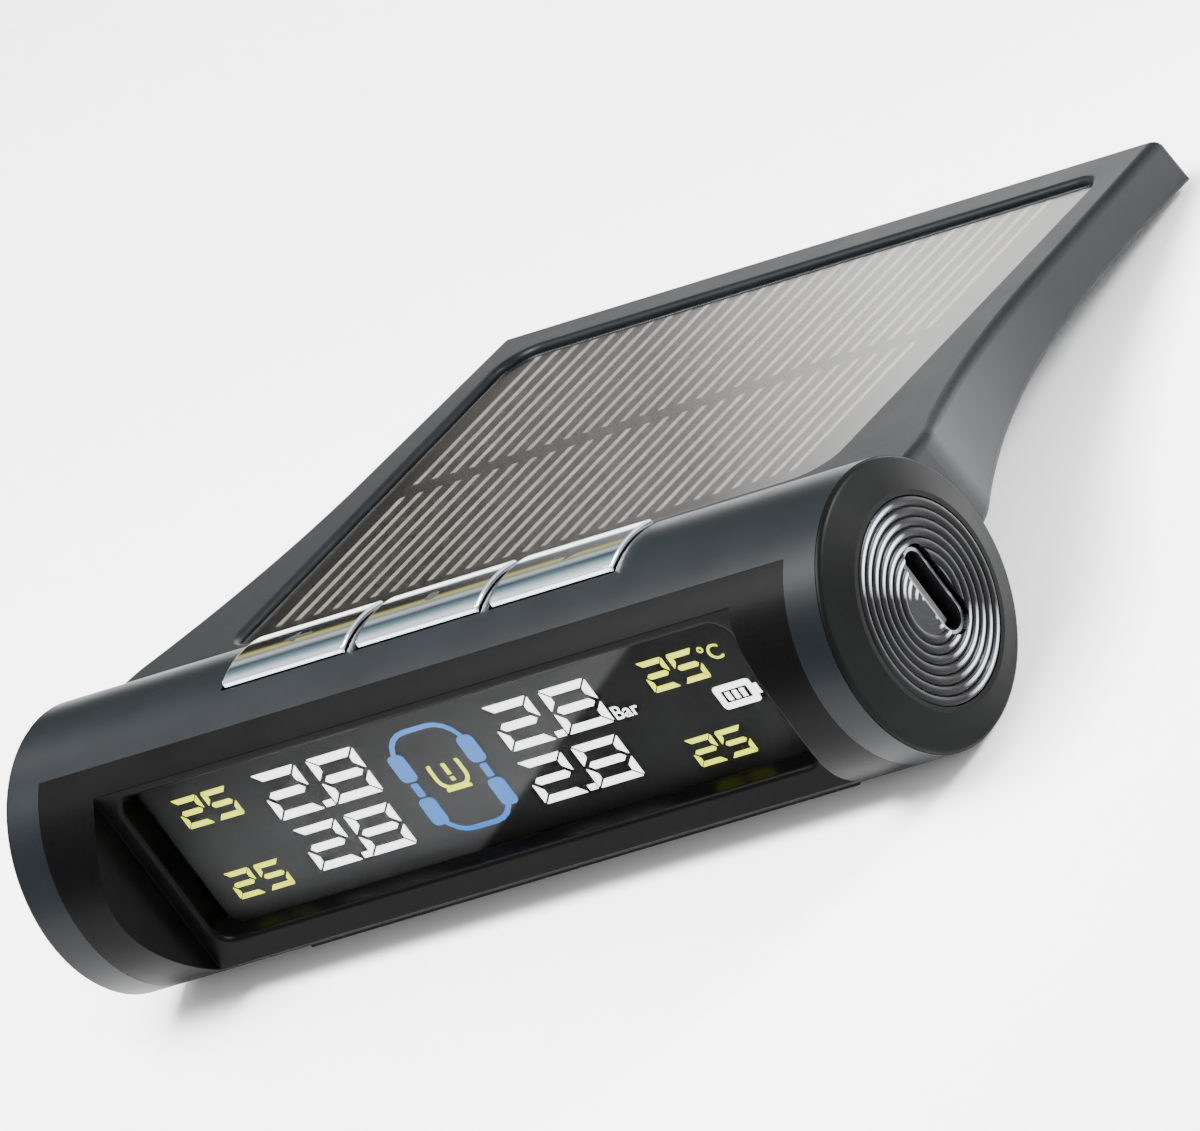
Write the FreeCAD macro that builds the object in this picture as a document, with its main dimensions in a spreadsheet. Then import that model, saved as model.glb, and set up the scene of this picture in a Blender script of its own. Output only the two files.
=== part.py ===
# Dashboard tyre pressure monitor: a tube-shaped housing with a display scooped into its front,
# three keys on its crest and a solar fin that slopes down behind it to the dashboard.
# Millimetres. X runs along the tube, -Y is the display side, +Z is up, and z = 0 is the dashboard.
import FreeCAD, Part
import os

import Sketcher

doc = FreeCAD.newDocument("TyreMonitor")
sheet = doc.addObject("Spreadsheet::Sheet", "Dims")

SIZES = [
    ("tube_radius", 13.0, "outside of the tube"),
    ("tube_reach", 45.7, "centre to the end of the tube"),
    ("wall", 1.6, "moulded wall"),
    ("foot_proud", 0.4, "pads stand proud of the shell"),
    ("foot_depth", 0.6, "pad recess in the shell"),
    ("fin_slope", 14.6, "fin top, degrees below level"),
    ("fin_reach", 69.3, "tube axis to the fin's tip"),
    ("rim_level", 9.9, "tube axis to the fin's rim, square to the slope"),
    ("rim_round", 0.9, "outer edge of the fin's rim"),
    ("pocket_round", 0.6, "inner edge of the fin's rim"),
    ("tip_round", 0.5, "upright corners of the fin's tip"),
    ("under_round", 0.7, "lower edges of the fin"),
    ("arch_radius", 226.0, "underside arch"),
    ("arch_centre", 3.0, "tube axis to the arch's centre, along Y"),
    ("fin_tip_half", 37.4, "half width at the tip"),
    ("fin_waist_half", 38.6, "half width where the flare begins"),
    ("fin_waist", 45.0, "tube axis to the start of the flare"),
    ("flare_end", 15.0, "tube axis to the end of the flare"),
    ("flare_radius", 91.0, "hollow curve of the flare"),
    ("flare_soft", 9.0, "outward curve where the flare meets the tube's end"),
    ("cover_thick", 1.5, "underside cover"),
    ("cover_gap", 0.1, "slip gap round the covers"),
    ("cover_end", 58.0, "tube axis to the cover's rear edge"),
    ("cover_start", 15.0, "tube axis to the cover's front edge"),
    ("deck", 1.0, "shell left under the solar panel"),
    ("face_lean", 3.6, "display leans back, degrees"),
    ("face_level", 8.4, "tube axis to the scoop's floor"),
    ("face_thick", 2.4, "fascia plate"),
    ("scoop_half", 36.0, "half length of the flat floor"),
    ("cove_radius", 6.3, "end coves of the scoop"),
    ("collar_half", 42.2, "centre to the inside of a collar"),
    ("window_half", 34.3, "half length of the display opening"),
    ("window_low", 7.3, "opening below the axis"),
    ("window_high", 8.9, "opening above the axis"),
    ("window_corner", 1.8, "corners of the display opening"),
    ("window_lip", 0.5, "rounded front edge of the display opening"),
    ("lens_lap", 0.9, "lens behind the fascia on each side"),
    ("lens_thick", 1.0, "display lens"),
    ("glass_thick", 1.5, "liquid crystal cell"),
    ("light_thick", 1.8, "backlight block"),
    ("air_gap", 0.1, "between stacked display parts"),
    ("pin_thick", 0.8, "contact strip"),
    ("pin_half", 26.0, "half length of the contact strip"),
    ("board_thick", 1.0, "main board"),
    ("board_end", 3.7, "main board short of the tube's end"),
    ("board_low", 10.2, "main board below the axis"),
    ("board_high", 5.6, "main board above the axis"),
    ("port_long", 8.94, "charging port shell"),
    ("port_tall", 3.26, "charging port shell"),
    ("port_back", 1.5, "port centre behind the axis"),
    ("port_depth", 7.3, "port shell along X"),
    ("port_sunk", 0.4, "port mouth below the cap's face"),
    ("port_wall", 0.32, "port shell metal"),
    ("port_gap", 0.2, "cap opening round the port"),
    ("tongue_thick", 0.7, "port contact tongue"),
    ("tongue_long", 6.7, "port contact tongue"),
    ("cap_depth", 1.6, "end cap outside the tube"),
    ("spigot_depth", 3.0, "end cap inside the tube"),
    ("spigot_wall", 1.3, "end cap inside the tube"),
    ("cap_edge", 0.55, "rounded edge of the end cap, along X"),
    ("cap_drop", 0.5, "rounded edge of the end cap, inwards"),
    ("cap_round", 0.6, "rounded edge of the end cap"),
    ("cap_shy", 0.08, "end cap smaller than the tube"),
    ("ring_radius", 9.2, "ringed disc"),
    ("ring_start", 2.9, "flat middle of the ringed disc"),
    ("ring_thick", 0.9, "ringed disc under its rings"),
    ("ring_bulge", 0.55, "radius of one ring's crown"),
    ("panel_start", 12.4, "fin rim in front of the solar panel"),
    ("panel_long", 52.0, "solar panel down the slope"),
    ("panel_half", 33.6, "half width of the solar panel"),
    ("panel_corner", 3.0, "solar panel corners"),
    ("panel_sunk", 0.6, "panel cover below the rim"),
    ("panel_cover", 0.4, "clear cover"),
    ("panel_thick", 1.0, "solar panel board"),
    ("panel_tape", 0.3, "bonding tape"),
    ("panel_gap", 0.2, "gap round the solar panel"),
    ("keys_lean", 12.5, "key centre line behind the crest, degrees"),
    ("key_half", 3.85, "half width of the keys round the tube"),
    ("key_long", 13.8, "one key along the tube"),
    ("key_divide", 1.4, "divider between two keys"),
    ("key_proud", 0.5, "keys above the tube"),
    ("key_gap", 0.25, "gap round a key"),
    ("key_flange", 0.5, "flange inside the shell"),
    ("flange_level", 9.0, "tube axis to the flange's underside"),
    ("flange_thick", 0.7, "key flange"),
    ("plunger_radius", 1.0, "key switch plunger"),
    ("plunger_slack", 0.1, "plunger hole"),
    ("plunger_top", 8.6, "tube axis to the plunger's top"),
    ("plunger_long", 1.2, "key switch plunger"),
    ("stem_radius", 1.3, "post under each key"),
    ("switch_side", 4.0, "key switch body"),
    ("switch_tall", 2.0, "key switch body"),
    ("switch_well", 1.1, "hole in the switch body"),
    ("key_board_level", 5.2, "tube axis to the key board's underside"),
    ("key_board_thick", 0.8, "key board"),
    ("key_board_front", 0.6, "key board in front of its centre line"),
    ("key_board_back", 5.5, "key board behind its centre line"),
    ("key_board_edge", 1.9, "key board beyond the outer keys"),
    ("cell_half", 24.0, "half length of the battery"),
    ("cell_thick", 5.6, "battery"),
    ("cell_low", 9.2, "battery below the axis"),
    ("cell_high", 4.0, "battery above the axis"),
    ("foam_thick", 0.7, "battery foam"),
    ("shield_long", 9.5, "radio shield along the tube"),
    ("shield_tall", 8.0, "radio shield"),
    ("shield_thick", 2.0, "radio shield"),
    ("coil_radius", 1.6, "aerial coil"),
    ("coil_wire", 0.4, "aerial coil wall"),
    ("buzzer_radius", 4.5, "buzzer"),
    ("buzzer_thick", 3.6, "buzzer"),
    ("screw_radius", 0.9, "screw shank"),
    ("screw_head", 1.7, "screw head"),
    ("head_thick", 0.8, "screw head"),
    ("screw_long", 2.0, "cover screw shank"),
    ("boss_radius", 2.2, "screw boss"),
    ("cover_screw_x", 28.0, "cover screws from the middle"),
    ("cover_screw_front", 24.0, "tube axis to the front cover screws"),
    ("cover_screw_back", 43.0, "tube axis to the rear cover screws"),
    ("board_screw_x", 38.5, "board screws from the middle"),
    ("board_screw_low", 6.8, "board screws below the axis"),
    ("board_screw_long", 3.6, "board screw shank"),
    ("front_pad_half", 31.0, "half length of the front pad"),
    ("front_pad_wide", 7.6, "front pad across the tube"),
    ("rear_pad_half", 30.0, "half length of the rear pad"),
    ("rear_pad_wide", 3.0, "rear pad down the fin"),
    ("rear_pad_edge", 1.2, "rear pad from the fin's tip"),
    ("rear_pad_tall", 2.0, "rear pad"),
    ("over_cut", 1.0, "how far a cutting tool runs past the face it opens"),
    ("flare_root", 6.0, "depth of the fin's root inside the tube"),
    ("cover_room", 5.0, "height cleared above the solar recess"),
    ("cell_margin", 2.0, "board margin between the battery and the parts beside it"),
    ("foam_inset", 1.0, "battery foam inside the cell's edge"),
    ("board_drop", 3.0, "small parts below the middle of the board"),
    ("coil_low", 5.0, "aerial below the tube's axis"),
    ("coil_lift", 0.5, "aerial clear of the shield's level"),
    ("fit_gap", 0.05, "sliding fit of the caps and ring discs"),
    ("ring_shoulder", 0.5, "cap floor beyond the ring disc"),
    ("ring_inset", 0.1, "ring crests below the cap's face"),
    ("head_room", 0.15, "clearance round a screw head"),
]

for row, (alias, value, note) in enumerate(SIZES, start=1):
    sheet.set(f"A{row}", note)
    sheet.set(f"B{row}", str(value))
    sheet.setAlias(f"B{row}", alias)
doc.recompute()

RING_COUNT = 7
FAR = "200"
NEAR = 0.001

# ---- places: every frame sits on the tube's axis and is turned about X -------------------------


def vector(x, y, z):
    return f"create(<<vector>>; {x}; {y}; {z})"


def placement(x, y, z, angle="0", axis=("1", "0", "0")):
    turn = f"create(<<rotation>>; {vector(*axis)}; {angle})"
    return f"create(<<placement>>; {vector(x, y, z)}; {turn})"


def dims(text):
    # words that are sheet aliases get the sheet's name in front of them
    names = {alias for alias, _value, _note in SIZES}
    words = []
    word = ""
    for letter in text + " ":
        if letter.isalnum() or letter == "_":
            word += letter
            continue
        words.append("Dims." + word if word in names else word)
        words.append(letter)
        word = ""
    return "".join(words).strip()


AXIS_Y = "(-(fin_reach - tube_radius) / 2)"
AXIS_Z = "(tube_radius + foot_proud)"
TUBE = placement("0", AXIS_Y, AXIS_Z)
FACE = placement("0", AXIS_Y, AXIS_Z, "-face_lean")
SLOPE = placement("0", AXIS_Y, AXIS_Z, "-fin_slope")
KEYS = placement("0", AXIS_Y, AXIS_Z, "-keys_lean")

# heights in the tube frame
ARCH_MIDDLE = "(-tube_radius - sqrt(pow(arch_radius; 2) - pow(fin_reach - arch_centre; 2)))"
PANEL_FLOOR = "(rim_level - panel_sunk - panel_cover - panel_thick - panel_tape)"
BORE = "(tube_radius - wall)"
FACE_BACK = "(face_level - face_thick)"
GLASS_FRONT = "(face_level - face_thick - lens_thick - air_gap)"
LIGHT_FRONT = "(face_level - face_thick - lens_thick - glass_thick - 2 * air_gap)"
BOARD_BACK = "(port_back - port_tall / 2)"
CAP_FACE = "(tube_reach + cap_depth)"
KEY_PITCH = "(key_long + key_divide)"
KEYS_HALF = f"({KEY_PITCH} + key_long / 2)"
BOARD_HALF = "(tube_reach - board_end)"
BUZZER_SPOT = "-cell_half - buzzer_radius - cell_margin"


def arch(y, extra="0"):
    return f"({ARCH_MIDDLE} + sqrt(pow(arch_radius + {extra}; 2) - pow({y} - arch_centre; 2)))"


def top(y, level):
    return f"(({level}) / cos(fin_slope) - ({y}) * tan(fin_slope))"


# ---- builders ---------------------------------------------------------------------------------


def place(piece, frame, x="0", y="0", z="0", angle="0", axis=("1", "0", "0")):
    piece.setExpression("Placement", dims(f"{frame} * {placement(x, y, z, angle, axis)}"))


def box(name, frame, low, high):
    piece = doc.addObject("Part::Box", name)
    for side, start, end in zip(("Length", "Width", "Height"), low, high):
        piece.setExpression(side, dims(f"({end}) - ({start})"))
    place(piece, frame, *low)
    return piece


def rod(name, frame, radius, start, end, y="0", z="0"):
    # a cylinder along X
    piece = doc.addObject("Part::Cylinder", name)
    piece.setExpression("Radius", dims(radius))
    piece.setExpression("Height", dims(f"({end}) - ({start})"))
    place(piece, frame, start, y, z, "90", ("0", "1", "0"))
    return piece


def post(name, frame, radius, x, y, start, end):
    # a cylinder along the frame's Z
    piece = doc.addObject("Part::Cylinder", name)
    piece.setExpression("Radius", dims(radius))
    piece.setExpression("Height", dims(f"({end}) - ({start})"))
    place(piece, frame, x, y, start)
    return piece


def peg(name, frame, radius, x, z, start, end):
    # a cylinder along the frame's Y
    piece = doc.addObject("Part::Cylinder", name)
    piece.setExpression("Radius", dims(radius))
    piece.setExpression("Height", dims(f"({end}) - ({start})"))
    place(piece, frame, x, start, z, "-90")
    return piece


def cut(name, base, *tools):
    tool = tools[0] if len(tools) == 1 else fuse(name + "Tools", *tools)
    piece = doc.addObject("Part::Cut", name)
    piece.Base = base
    piece.Tool = tool
    return piece


def fuse(name, *shapes):
    piece = doc.addObject("Part::MultiFuse", name)
    piece.Shapes = list(shapes)
    return piece


def common(name, *shapes):
    piece = doc.addObject("Part::MultiCommon", name)
    piece.Shapes = list(shapes)
    return piece


def number(text):
    return float(sheet.evalExpression(dims(text)))


def outline(body, name, role, points, bends=None):
    # a closed sketch: points are pairs of expressions, and bends gives a side's radius (positive
    # when its centre lies to the left of the way the side runs)
    bends = bends or {}
    sketch = body.newObject("Sketcher::SketchObject", name)
    plane = [item for item in body.Origin.OriginFeatures if item.Role == role][0]
    sketch.AttachmentSupport = [(plane, "")]
    sketch.MapMode = "FlatFace"
    spots = [FreeCAD.Vector(number(a), number(b), 0) for a, b in points]
    count = len(points)
    ends = []
    for side in range(count):
        start = spots[side]
        end = spots[(side + 1) % count]
        if side in bends:
            turn, radius = bends[side]
            sketch.addGeometry(arc_between(start, end, number(radius), turn))
            ends.append((1, 2) if turn > 0 else (2, 1))
        else:
            sketch.addGeometry(Part.LineSegment(start, end))
            ends.append((1, 2))
    for side in range(count):
        after = (side + 1) % count
        sketch.addConstraint(Sketcher.Constraint("Coincident", side, ends[side][1], after, ends[after][0]))
    for side, (across, up) in enumerate(points):
        for kind, value in (("DistanceX", across), ("DistanceY", up)):
            bind(sketch, Sketcher.Constraint(kind, -1, 1, side, ends[side][0], number(value)), value)
    for side, (_turn, radius) in bends.items():
        bind(sketch, Sketcher.Constraint("Radius", side, number(radius)), radius)
    return sketch


def bind(sketch, constraint, value):
    index = sketch.addConstraint(constraint)
    sketch.setExpression(f"Constraints[{index}]", dims(value))


def arc_between(start, end, radius, turn):
    half = (end - start) * 0.5
    side = FreeCAD.Vector(-half.y, half.x, 0).normalize() * (1 if turn > 0 else -1)
    middle = start + half + side * (radius**2 - half.Length**2) ** 0.5
    crown = middle - side * radius
    return Part.Arc(start, crown, end) if turn > 0 else Part.Arc(end, crown, start)


def new_body(name):
    return doc.addObject("PartDesign::Body", name)


def pad(body, name, sketch, length, symmetric=True):
    piece = body.newObject("PartDesign::Pad", name)
    piece.Profile = sketch
    piece.SideType = "Symmetric" if symmetric else "One side"
    piece.setExpression("Length", dims(length))
    sketch.Visibility = False
    return piece


def plate(name, frame, low, high, corner):
    # a flat piece with rounded corners
    body = new_body(name)
    points = [(low[0], low[1]), (high[0], low[1]), (high[0], high[1]), (low[0], high[1])]
    sheet_pad = pad(body, name + "Pad", outline(body, name + "Outline", "XY_Plane", points),
                    f"({high[2]}) - ({low[2]})", False)
    round_upright(body, sheet_pad, name + "Corners", corner, lambda spot: True)
    place(body, frame, "0", "0", low[2])
    return body


def round_upright(body, block, name, radius, wanted):
    # rounds the block's upright edges where they stand at a wanted spot
    doc.recompute()
    upright = []
    for index, edge in enumerate(block.Shape.Edges, start=1):
        if abs(edge.tangentAt(edge.FirstParameter).z) > 1 - NEAR and wanted(edge.firstVertex().Point):
            upright.append(f"Edge{index}")
    rounds = body.newObject("PartDesign::Fillet", name)
    rounds.Base = (block, upright)
    rounds.setExpression("Radius", dims(radius))


def stadium(name, long, tall, start, end):
    # a round-ended bar along X, standing on the main board's back
    ends = f"(({long}) - ({tall})) / 2"
    middle = box(name + "Middle", FACE, (start, f"port_back - ({tall}) / 2", f"-{ends}"),
                 (end, f"port_back + ({tall}) / 2", ends))
    low = rod(name + "Low", FACE, f"({tall}) / 2", start, end, "port_back", f"-{ends}")
    high = rod(name + "High", FACE, f"({tall}) / 2", start, end, "port_back", ends)
    return fuse(name, middle, low, high)


# ---- the fin's two outlines ---------------------------------------------------------------------


def fin_plan(name, inset):
    # seen from above: full width at the tube, hollow flare, narrow tip
    body = new_body(name)
    flare_half = (
        "(fin_waist_half + flare_radius * cos(waist_angle) - sqrt(pow(flare_radius; 2)"
        " - pow(fin_waist + flare_radius * sin(waist_angle) - flare_end; 2)))"
    )
    angle = "atan((fin_waist_half - fin_tip_half) / (fin_reach - fin_waist))"
    flare_half = flare_half.replace("waist_angle", angle)
    root_half = f"(tube_reach - {inset})"
    halves = [
        (root_half, "0"),
        (root_half, "flare_end - flare_root"),
        (f"({flare_half} - {inset})", "flare_end"),
        (f"(fin_waist_half - {inset})", "fin_waist"),
        (f"(fin_tip_half - {inset})", f"(fin_reach - {inset})"),
    ]
    points = halves + [(f"-{across}", up) for across, up in reversed(halves)]
    flare = f"flare_radius + {inset}"
    bends = {2: (-1, flare), 6: (-1, flare)}
    block = pad(body, name + "Pad", outline(body, name + "Outline", "XY_Plane", points, bends), FAR)
    round_upright(body, block, name + "Soft", "flare_soft", at_flare_end)
    place(body, TUBE)
    return body


def at_flare_end(spot):
    return abs(spot.y - number("flare_end")) < NEAR


def fin_side(name, points, bends=None):
    body = new_body(name)
    pad(body, name + "Pad", outline(body, name + "Outline", "YZ_Plane", points, bends), FAR)
    place(body, TUBE)
    return body


def fin_block():
    points = [
        ("arch_centre", top("arch_centre", "rim_level")),
        ("arch_centre", arch("arch_centre")),
        ("fin_reach", arch("fin_reach")),
        ("fin_reach", top("fin_reach", "rim_level")),
    ]
    side = fin_side("FinSide", points, {1: (-1, "arch_radius")})
    return common("FinBlock", side, fin_plan("FinPlan", "0"))


def cover_blank():
    # a curved plate that follows the underside arch
    points = [
        ("cover_start", arch("cover_start", "cover_thick")),
        ("cover_start", arch("cover_start")),
        ("cover_end", arch("cover_end")),
        ("cover_end", arch("cover_end", "cover_thick")),
    ]
    side = fin_side("CoverSide", points, {1: (-1, "arch_radius"), 3: (1, "arch_radius + cover_thick")})
    return common("CoverBlank", side, fin_plan("CoverPlan", "(wall + cover_gap)"))


def cover_screw_spots():
    for x in ("cover_screw_x", "-cover_screw_x"):
        for y in ("cover_screw_front", "cover_screw_back"):
            yield x, y


def fin_cavity(blank):
    # open below for the cover, and open to the tube above it
    back = "(cover_end + cover_gap)"
    front = "(cover_start - cover_gap)"
    ceiling = f"{PANEL_FLOOR} - deck"
    inside = "(tube_radius - 3 * wall)"
    sill = arch("cover_start", "cover_thick")
    points = [
        (inside, top(inside, ceiling)),
        (inside, sill),
        (front, sill),
        (front, "-tube_radius - 2 * over_cut"),
        (back, "-tube_radius - 2 * over_cut"),
        (back, top(back, ceiling)),
    ]
    space = common("FinSpace", fin_side("SpaceSide", points), fin_plan("SpacePlan", "wall"))
    bosses = []
    for index, (x, y) in enumerate(cover_screw_spots()):
        bosses.append(post(f"CoverBoss{index}", TUBE, "boss_radius", x, y, arch(y), "tube_radius"))
    return cut("FinCavity", space, cut("CoverBosses", fuse("BossPosts", *bosses), blank))


# ---- screws --------------------------------------------------------------------------------------


def cover_screw_set(name, shank, head, extra):
    pieces = []
    for index, (x, y) in enumerate(cover_screw_spots()):
        seat = f"({arch(y)} + head_thick)"
        pieces.append(post(f"{name}Shank{index}", TUBE, shank, x, y, seat, f"{seat} + screw_long"))
        pieces.append(post(f"{name}Head{index}", TUBE, head, x, y, f"{arch(y)} - {extra}", seat))
    return fuse(name, *pieces)


def board_screw_set():
    pieces = []
    for index, x in enumerate(("board_screw_x", "-board_screw_x")):
        end = f"{BOARD_BACK} + head_thick"
        pieces.append(peg(f"BoardShank{index}", FACE, "screw_radius", x, "-board_screw_low",
                          f"{BOARD_BACK} - board_screw_long", BOARD_BACK))
        pieces.append(peg(f"BoardHead{index}", FACE, "screw_head", x, "-board_screw_low",
                          BOARD_BACK, end))
    return fuse("BoardScrews", *pieces)


# ---- housing -------------------------------------------------------------------------------------


def housing_shell(blank, screws):
    tube = rod("TubeOuter", TUBE, "tube_radius", "-tube_reach", "tube_reach")
    bore = rod("TubeBore", TUBE, BORE, "-tube_reach - over_cut", "tube_reach + over_cut")
    scoop = box("ScoopSeat", FACE, ("-collar_half", "-tube_radius - over_cut", "-tube_radius - over_cut"),
                ("collar_half", f"-{FACE_BACK}", "tube_radius + over_cut"))
    window = []
    for index, middle in enumerate((f"-{KEY_PITCH}", "0", KEY_PITCH)):
        half = "(key_long / 2 + key_gap)"
        window.append(box(f"KeyWindow{index}", KEYS,
                          (f"{middle} - {half}", "-key_half - key_gap", "flange_level"),
                          (f"{middle} + {half}", "key_half + key_gap", "tube_radius + over_cut")))
    half = "(panel_half + panel_gap)"
    pocket = plate("PanelPocket", SLOPE, (f"-{half}", "panel_start - panel_gap", PANEL_FLOOR),
                   (half, "panel_start + panel_long + panel_gap", "rim_level + cover_room"),
                   "panel_corner + panel_gap")
    front = box("FrontPadSeat", TUBE, ("-front_pad_half", "-front_pad_wide / 2", "-tube_radius - over_cut"),
                ("front_pad_half", "front_pad_wide / 2", "-tube_radius + foot_depth"))
    rear = box("RearPadSeat", TUBE, ("-rear_pad_half", "fin_reach - rear_pad_edge - rear_pad_wide",
                                     "-tube_radius - over_cut"),
               ("rear_pad_half", "fin_reach - rear_pad_edge",
                "-tube_radius - foot_proud + rear_pad_tall"))
    outside = fuse("Outside", tube, fin_block())
    sharp = cut("SharpShell", outside, bore, fin_cavity(blank), scoop, *window, pocket, front,
                rear, screws)
    doc.recompute()
    return round_edges("HousingShell", sharp, shell_round)


def shell_round(edge):
    # the radius that an edge of the shell is rounded to, or nothing
    spots = edge.discretize(5)
    reach = number("fin_reach")
    tilt = number("fin_slope")
    crease = (number("tube_radius") ** 2 - number("rim_level") ** 2) ** 0.5
    tip_share = number(top("fin_reach", "rim_level") + " + tube_radius") / 4
    from_axis = [spot - FreeCAD.Vector(0, number(AXIS_Y), number(AXIS_Z)) for spot in spots]
    turn = FreeCAD.Rotation(FreeCAD.Vector(1, 0, 0), tilt)
    on_slope = [turn.multVec(spot) for spot in from_axis]
    if all(abs(spot.z - number("rim_level")) < NEAR for spot in on_slope):
        half = number("panel_half + panel_gap") + NEAR
        end = number("panel_start + panel_long + panel_gap") + NEAR
        if all(abs(spot.x) < half and spot.y < end for spot in on_slope) and edge.Length > NEAR:
            return min(number("pocket_round"), (number("panel_start - panel_gap") - crease) / 2)
        if all(spot.y < crease + NEAR for spot in on_slope):
            return 0
        return min(number("rim_round"), tip_share)
    if all(abs(spot.y - reach) < NEAR and abs(spot.x) > number("fin_tip_half") - NEAR for spot in from_axis):
        return number("tip_round")
    middle = FreeCAD.Vector(0, number("arch_centre"), number(ARCH_MIDDLE))
    side = number("fin_tip_half") - NEAR
    if all(abs(spot.x) > side for spot in from_axis):
        flat = [FreeCAD.Vector(0, spot.y, spot.z) - middle for spot in from_axis]
        if all(abs(spot.Length - number("arch_radius")) < NEAR for spot in flat):
            if min(spot.y for spot in from_axis) > number("cover_start"):
                return min(number("under_round"), tip_share)
    return 0


def round_edges(name, base, radius_of):
    piece = doc.addObject("Part::Fillet", name)
    piece.Base = base
    radii = [(index, radius_of(edge)) for index, edge in enumerate(base.Shape.Edges, start=1)]
    piece.Edges = [(index, radius, radius) for index, radius in radii if radius > 0]
    return piece


def bottom_cover(blank, screws):
    return cut("BottomCover", blank, screws)


def front_fascia():
    body = new_body("ScoopCut")
    rise = "-face_level - cove_radius"
    end = "scoop_half + cove_radius"
    points = [(f"-({end})", rise), (end, rise), ("scoop_half", "-face_level"),
              ("-scoop_half", "-face_level")]
    bends = {1: (-1, "cove_radius"), 3: (-1, "cove_radius")}
    pad(body, "ScoopCutPad", outline(body, "ScoopCutOutline", "XY_Plane", points, bends), FAR)
    place(body, FACE)
    blank = common("FasciaBlank", rod("FasciaTube", TUBE, "tube_radius", "-collar_half", "collar_half"),
                   box("FasciaSlab", FACE, ("-collar_half", "-tube_radius", "-tube_radius"),
                       ("collar_half", f"-{FACE_BACK}", "tube_radius")))
    opening = box("DisplayOpening", FACE, ("-window_half", "-tube_radius", "-window_low"),
                  ("window_half", "0", "window_high"))
    bosses = []
    for index, x in enumerate(("board_screw_x", "-board_screw_x")):
        bosses.append(peg(f"BoardBoss{index}", FACE, "boss_radius", x, "-board_screw_low",
                          f"-{FACE_BACK}", f"{BOARD_BACK} - board_thick"))
    plain = cut("FasciaPlain", blank, body, opening)
    doc.recompute()
    cornered = round_edges("FasciaCornered", plain, corner_round)
    doc.recompute()
    return fuse("FasciaBossed", round_edges("FasciaLipped", cornered, lip_round), *bosses)


def face_spots(edge):
    turn = FreeCAD.Rotation(FreeCAD.Vector(1, 0, 0), number("face_lean"))
    axis = FreeCAD.Vector(0, number(AXIS_Y), number(AXIS_Z))
    return [turn.multVec(spot - axis) for spot in edge.discretize(5)]


def corner_round(edge):
    # the four edges that run through the plate at the opening's corners
    spots = face_spots(edge)
    across = all(abs(abs(spot.x) - number("window_half")) < NEAR for spot in spots)
    level = abs(spots[0].z - spots[-1].z) < NEAR
    return number("window_corner") if across and level else 0


def lip_round(edge):
    # the opening's edges that lie on the scoop's floor
    spots = face_spots(edge)
    on_floor = all(abs(spot.y + number("face_level")) < NEAR for spot in spots)
    inside = all(abs(spot.x) < number("window_half") + NEAR for spot in spots)
    low = all(spot.z > -number("window_low") - NEAR for spot in spots)
    high = all(spot.z < number("window_high") + NEAR for spot in spots)
    return number("window_lip") if on_floor and inside and low and high else 0


# ---- display -------------------------------------------------------------------------------------


def display_lens():
    return box("Lens", FACE, ("-window_half - lens_lap", f"-{FACE_BACK}", "-window_low - lens_lap"),
               ("window_half + lens_lap", f"-{FACE_BACK} + lens_thick", "window_high + lens_lap / 2"))


def lcd_panel():
    return box("Glass", FACE, ("-window_half - lens_lap / 2", f"-{GLASS_FRONT}",
                               "-window_low - lens_lap - pin_thick"),
               ("window_half + lens_lap / 2", f"-{GLASS_FRONT} + glass_thick", "window_high - 2 * air_gap"))


def backlight_block():
    return box("Light", FACE, ("-window_half", f"-{LIGHT_FRONT}", "-window_low - air_gap"),
               ("window_half", f"-{LIGHT_FRONT} + light_thick", "window_high - 5 * air_gap"))


def lcd_pin_strip():
    level = "-window_low - lens_lap - pin_thick"
    return box("Pins", FACE, ("-pin_half", f"-{GLASS_FRONT} + glass_thick", level),
               ("pin_half", f"{BOARD_BACK} - board_thick", f"{level} + pin_thick"))


# ---- electronics ---------------------------------------------------------------------------------


def main_board(screws):
    blank = box("BoardBlank", FACE, (f"-{BOARD_HALF}", f"{BOARD_BACK} - board_thick", "-board_low"),
                (BOARD_HALF, BOARD_BACK, "board_high"))
    return cut("MainBoard", blank, screws)


def battery_foam():
    return box("Foam", FACE, ("-cell_half + cell_margin", BOARD_BACK, "-cell_low + foam_inset"),
               ("cell_half - cell_margin", f"{BOARD_BACK} + foam_thick", "cell_high - foam_inset"))


def battery_cell():
    front = f"{BOARD_BACK} + foam_thick"
    return box("Cell", FACE, ("-cell_half", front, "-cell_low"),
               ("cell_half", f"{front} + cell_thick", "cell_high"))


def radio_shield():
    start = "cell_half + cell_margin"
    return box("Shield", FACE, (start, BOARD_BACK, "-shield_tall / 2 - board_drop"),
               (f"{start} + shield_long", f"{BOARD_BACK} + shield_thick", "shield_tall / 2 - board_drop"))


def aerial_coil():
    start = "cell_half + cell_margin"
    end = f"{start} + shield_long"
    y = f"{BOARD_BACK} + shield_thick + coil_radius + coil_lift"
    outer = rod("CoilOuter", FACE, "coil_radius", start, end, y, "-coil_low")
    inner = rod("CoilInner", FACE, "coil_radius - coil_wire", start, end, y, "-coil_low")
    return cut("AerialCoil", outer, inner)


def buzzer():
    case = peg("BuzzerCase", FACE, "buzzer_radius", BUZZER_SPOT, "-board_drop",
               BOARD_BACK, f"{BOARD_BACK} + buzzer_thick")
    hole = peg("BuzzerHole", FACE, "buzzer_radius / 4", BUZZER_SPOT, "-board_drop",
               f"{BOARD_BACK} + buzzer_thick / 2", f"{BOARD_BACK} + buzzer_thick + 1")
    return cut("Buzzer", case, hole)


# ---- charging port -------------------------------------------------------------------------------


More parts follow.
